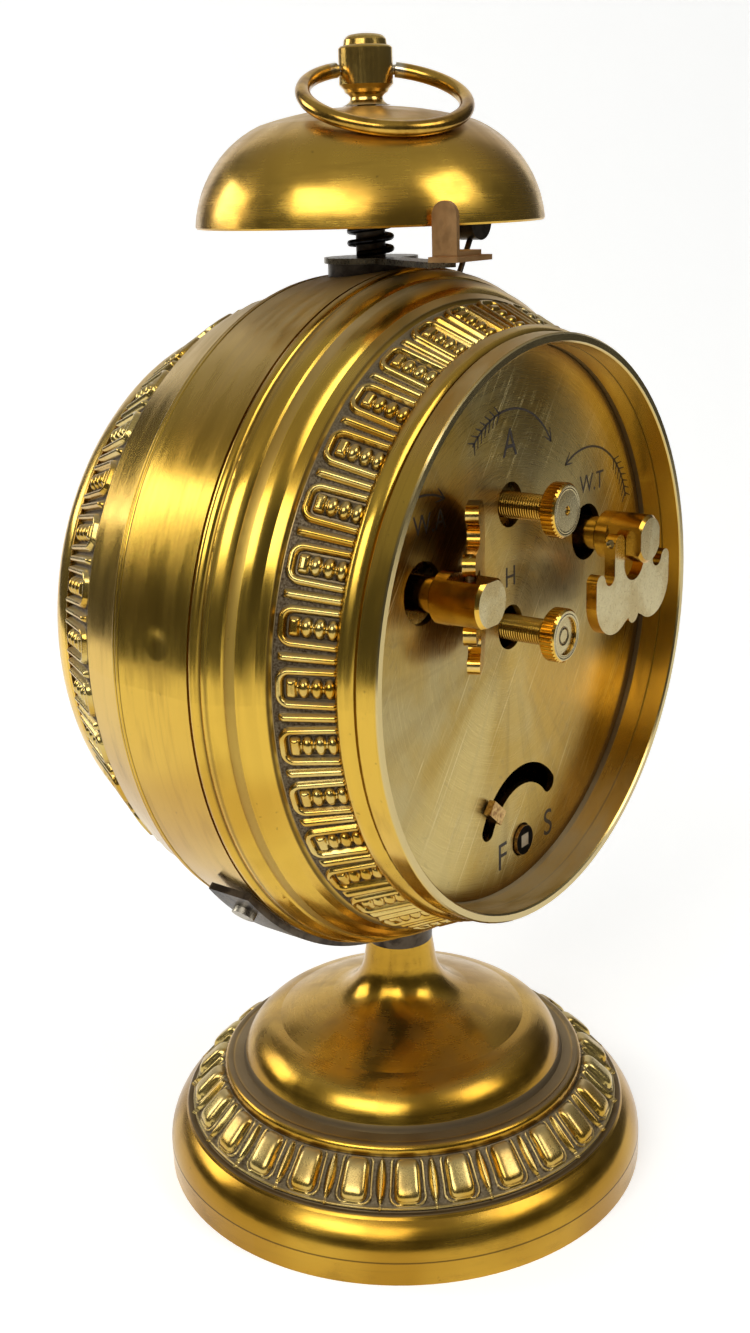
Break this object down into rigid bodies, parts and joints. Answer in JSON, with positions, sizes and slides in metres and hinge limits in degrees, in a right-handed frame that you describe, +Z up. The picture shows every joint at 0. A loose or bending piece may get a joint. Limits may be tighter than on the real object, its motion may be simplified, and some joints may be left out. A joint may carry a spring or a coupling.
{
  "type": "desk clock",
  "caption": "Desk alarm clock with a calendar hand: a round brass drum on a trumpet foot, with a bell and ring handle on top and two folding winding keys at the back.",
  "frame": {"origin": "centre of the foot's underside", "axes": "+Z up, dial towards -Y, keys and knobs towards +Y"},
  "size_m": [0.1164, 0.09, 0.2003],
  "materials": {
    "case_brass": "aged cast brass, golden on the raised parts and brown in the hollows",
    "foot_brass": "aged cast brass with dark patina",
    "bell_brass": "brushed brass",
    "plate_brass": "pale satin brass with scratches",
    "key_brass": "worn pale brass",
    "movement_brass": "clean brass",
    "copper": "hammered copper",
    "steel": "grey steel",
    "dark_steel": "dark brown steel",
    "spring_steel": "black spring steel",
    "blued_steel": "blued steel",
    "dial_enamel": "cream dial with black figures",
    "glass": "clear glass"
  },
  "bodies": {
    "case": {"foot_shell": "foot_brass", "foot_plate": "steel", "foot_stud": "steel", "neck_collar": "dark_steel", "saddle_strap": "dark_steel", "strap_screws": "steel", "case_band": "case_brass", "front_casting": "case_brass", "rear_casting": "case_brass", "bezel": "case_brass", "glass": "glass", "dial": "dial_enamel", "back_plate": "plate_brass", "movement_front_plate": "movement_brass", "movement_rear_plate": "movement_brass", "pillars": "movement_brass", "clicks": "steel", "bell_post": "steel", "post_collar": "dark_steel", "bell_spring": "spring_steel", "bell": "bell_brass", "finial": "case_brass"},
    "handle": {"ring_handle": "case_brass"},
    "stop_lever": {"stop_arm": "steel", "stop_tab": "copper"},
    "time_winder": {"time_arbor": "steel", "time_key_barrel": "key_brass", "time_key_pin": "steel"},
    "time_bow": {"time_key_bow": "key_brass"},
    "alarm_winder": {"alarm_arbor": "steel", "alarm_key_barrel": "key_brass", "alarm_key_pin": "steel"},
    "alarm_bow": {"alarm_key_bow": "key_brass"},
    "time_barrel": {"time_spring_barrel": "movement_brass", "time_mainspring": "spring_steel"},
    "alarm_barrel": {"alarm_spring_barrel": "movement_brass", "alarm_mainspring": "spring_steel"},
    "centre": {"centre_pinion": "movement_brass", "centre_wheel": "movement_brass"},
    "third": {"third_wheel": "movement_brass"},
    "fourth": {"fourth_wheel": "movement_brass"},
    "escape": {"escape_wheel": "movement_brass"},
    "lever": {"pallet_lever": "movement_brass"},
    "balance": {"balance_wheel": "movement_brass", "hairspring": "spring_steel"},
    "regulator_index": {"regulator": "copper"},
    "hand_setter": {"hand_knob": "key_brass", "hand_arbor": "steel", "minute_hand": "blued_steel"},
    "minute_work": {"minute_wheel": "movement_brass"},
    "hour_work": {"hour_wheel": "movement_brass", "hour_hand": "blued_steel"},
    "date_work": {"date_wheel": "movement_brass", "date_hand": "blued_steel"},
    "alarm_setter": {"alarm_knob": "key_brass", "alarm_set_arbor": "steel", "alarm_hand": "blued_steel"},
    "alarm_scape": {"alarm_scape_wheel": "movement_brass"},
    "hammer": {"hammer_arm": "dark_steel", "hammer_head": "dark_steel"}
  },
  "joints": [
    {"name": "ring_swing", "type": "hinge", "parent": "case", "child": "handle", "pos_m": [0, -0.002, 0.1948], "axis": [0.7902, -0.6129, 0], "range_deg": [0, 227]},
    {"name": "stop_lever_swing", "type": "hinge", "parent": "case", "child": "stop_lever", "pos_m": [0, -0.002, 0.1655], "axis": [0, 0, 1], "range_deg": [0, 90]},
    {"name": "time_winding", "type": "hinge", "parent": "case", "child": "time_winder", "pos_m": [-0.0252, 0, 0.1175], "axis": [0, 1, 0], "range_deg": [0, 1440]},
    {"name": "time_key_fold", "type": "hinge", "parent": "time_winder", "child": "time_bow", "pos_m": [-0.0252, 0.0334, 0.1175], "axis": [1, 0, 0], "range_deg": [-28, 208]},
    {"name": "alarm_winding", "type": "hinge", "parent": "case", "child": "alarm_winder", "pos_m": [0.0252, 0, 0.1175], "axis": [0, -1, 0], "range_deg": [0, 1440]},
    {"name": "alarm_key_fold", "type": "hinge", "parent": "alarm_winder", "child": "alarm_bow", "pos_m": [0.0252, 0.0334, 0.1175], "axis": [0, 0, -1], "range_deg": [0, 236]},
    {"name": "escape_turn", "type": "hinge", "parent": "case", "child": "escape", "pos_m": [-0.00721, 0, 0.0804], "axis": [0, 1, 0], "continuous": true},
    {"name": "fourth_turn", "type": "hinge", "parent": "case", "child": "fourth", "pos_m": [0.00401, 0, 0.08238], "axis": [0, 1, 0], "continuous": true},
    {"name": "third_turn", "type": "hinge", "parent": "case", "child": "third", "pos_m": [0.01202, 0, 0.09408], "axis": [0, 1, 0], "continuous": true},
    {"name": "centre_turn", "type": "hinge", "parent": "case", "child": "centre", "pos_m": [0, 0, 0.1061], "axis": [0, 1, 0], "continuous": true},
    {"name": "time_barrel_turn", "type": "hinge", "parent": "case", "child": "time_barrel", "pos_m": [-0.0252, 0, 0.1175], "axis": [0, 1, 0], "continuous": true},
    {"name": "pallet_rock", "type": "hinge", "parent": "case", "child": "lever", "pos_m": [-0.00487, 0, 0.07213], "axis": [0, 1, 0], "range_deg": [-4, 4]},
    {"name": "balance_swing", "type": "hinge", "parent": "case", "child": "balance", "pos_m": [-0.0033, 0, 0.0666], "axis": [0, 1, 0], "range_deg": [-150, 150], "stiffness_Nm_per_rad": 0.00003},
    {"name": "regulator_turn", "type": "hinge", "parent": "case", "child": "regulator_index", "pos_m": [-0.0033, 0, 0.0666], "axis": [0, -1, 0], "range_deg": [-9, 93]},
    {"name": "hand_setting", "type": "hinge", "parent": "case", "child": "hand_setter", "pos_m": [0, 0, 0.1061], "axis": [0, 1, 0], "continuous": true},
    {"name": "minute_wheel_turn", "type": "hinge", "parent": "case", "child": "minute_work", "pos_m": [0, 0, 0.0941], "axis": [0, 1, 0], "continuous": true},
    {"name": "hour_turn", "type": "hinge", "parent": "case", "child": "hour_work", "pos_m": [0, 0, 0.1061], "axis": [0, 1, 0], "continuous": true},
    {"name": "date_turn", "type": "hinge", "parent": "case", "child": "date_work", "pos_m": [0, 0, 0.1061], "axis": [0, 1, 0], "continuous": true},
    {"name": "alarm_setting", "type": "hinge", "parent": "case", "child": "alarm_setter", "pos_m": [0, 0, 0.1268], "axis": [0, -1, 0], "continuous": true},
    {"name": "alarm_scape_turn", "type": "hinge", "parent": "case", "child": "alarm_scape", "pos_m": [0.00513, 0, 0.13557], "axis": [0, 1, 0], "continuous": true},
    {"name": "alarm_barrel_turn", "type": "hinge", "parent": "case", "child": "alarm_barrel", "pos_m": [0.0252, 0, 0.1175], "axis": [0, 1, 0], "continuous": true},
    {"name": "hammer_swing", "type": "hinge", "parent": "case", "child": "hammer", "pos_m": [-0.0075, 0.003, 0.1426], "axis": [0, 1, 0], "range_deg": [-0.8, 14], "stiffness_Nm_per_rad": 0.01}
  ],
  "couplings": [
    {"joint": "escape_turn", "follows": "fourth_turn", "ratio": -7.1429},
    {"joint": "third_turn", "follows": "fourth_turn", "ratio": -0.125},
    {"joint": "centre_turn", "follows": "fourth_turn", "ratio": 0.016667},
    {"joint": "time_barrel_turn", "follows": "fourth_turn", "ratio": -0.0027778},
    {"joint": "minute_wheel_turn", "follows": "hand_setting", "ratio": -0.33333},
    {"joint": "hour_turn", "follows": "hand_setting", "ratio": 0.083333},
    {"joint": "date_turn", "follows": "hand_setting", "ratio": 0.0013441},
    {"joint": "alarm_scape_turn", "follows": "alarm_barrel_turn", "ratio": -7.2}
  ]
}
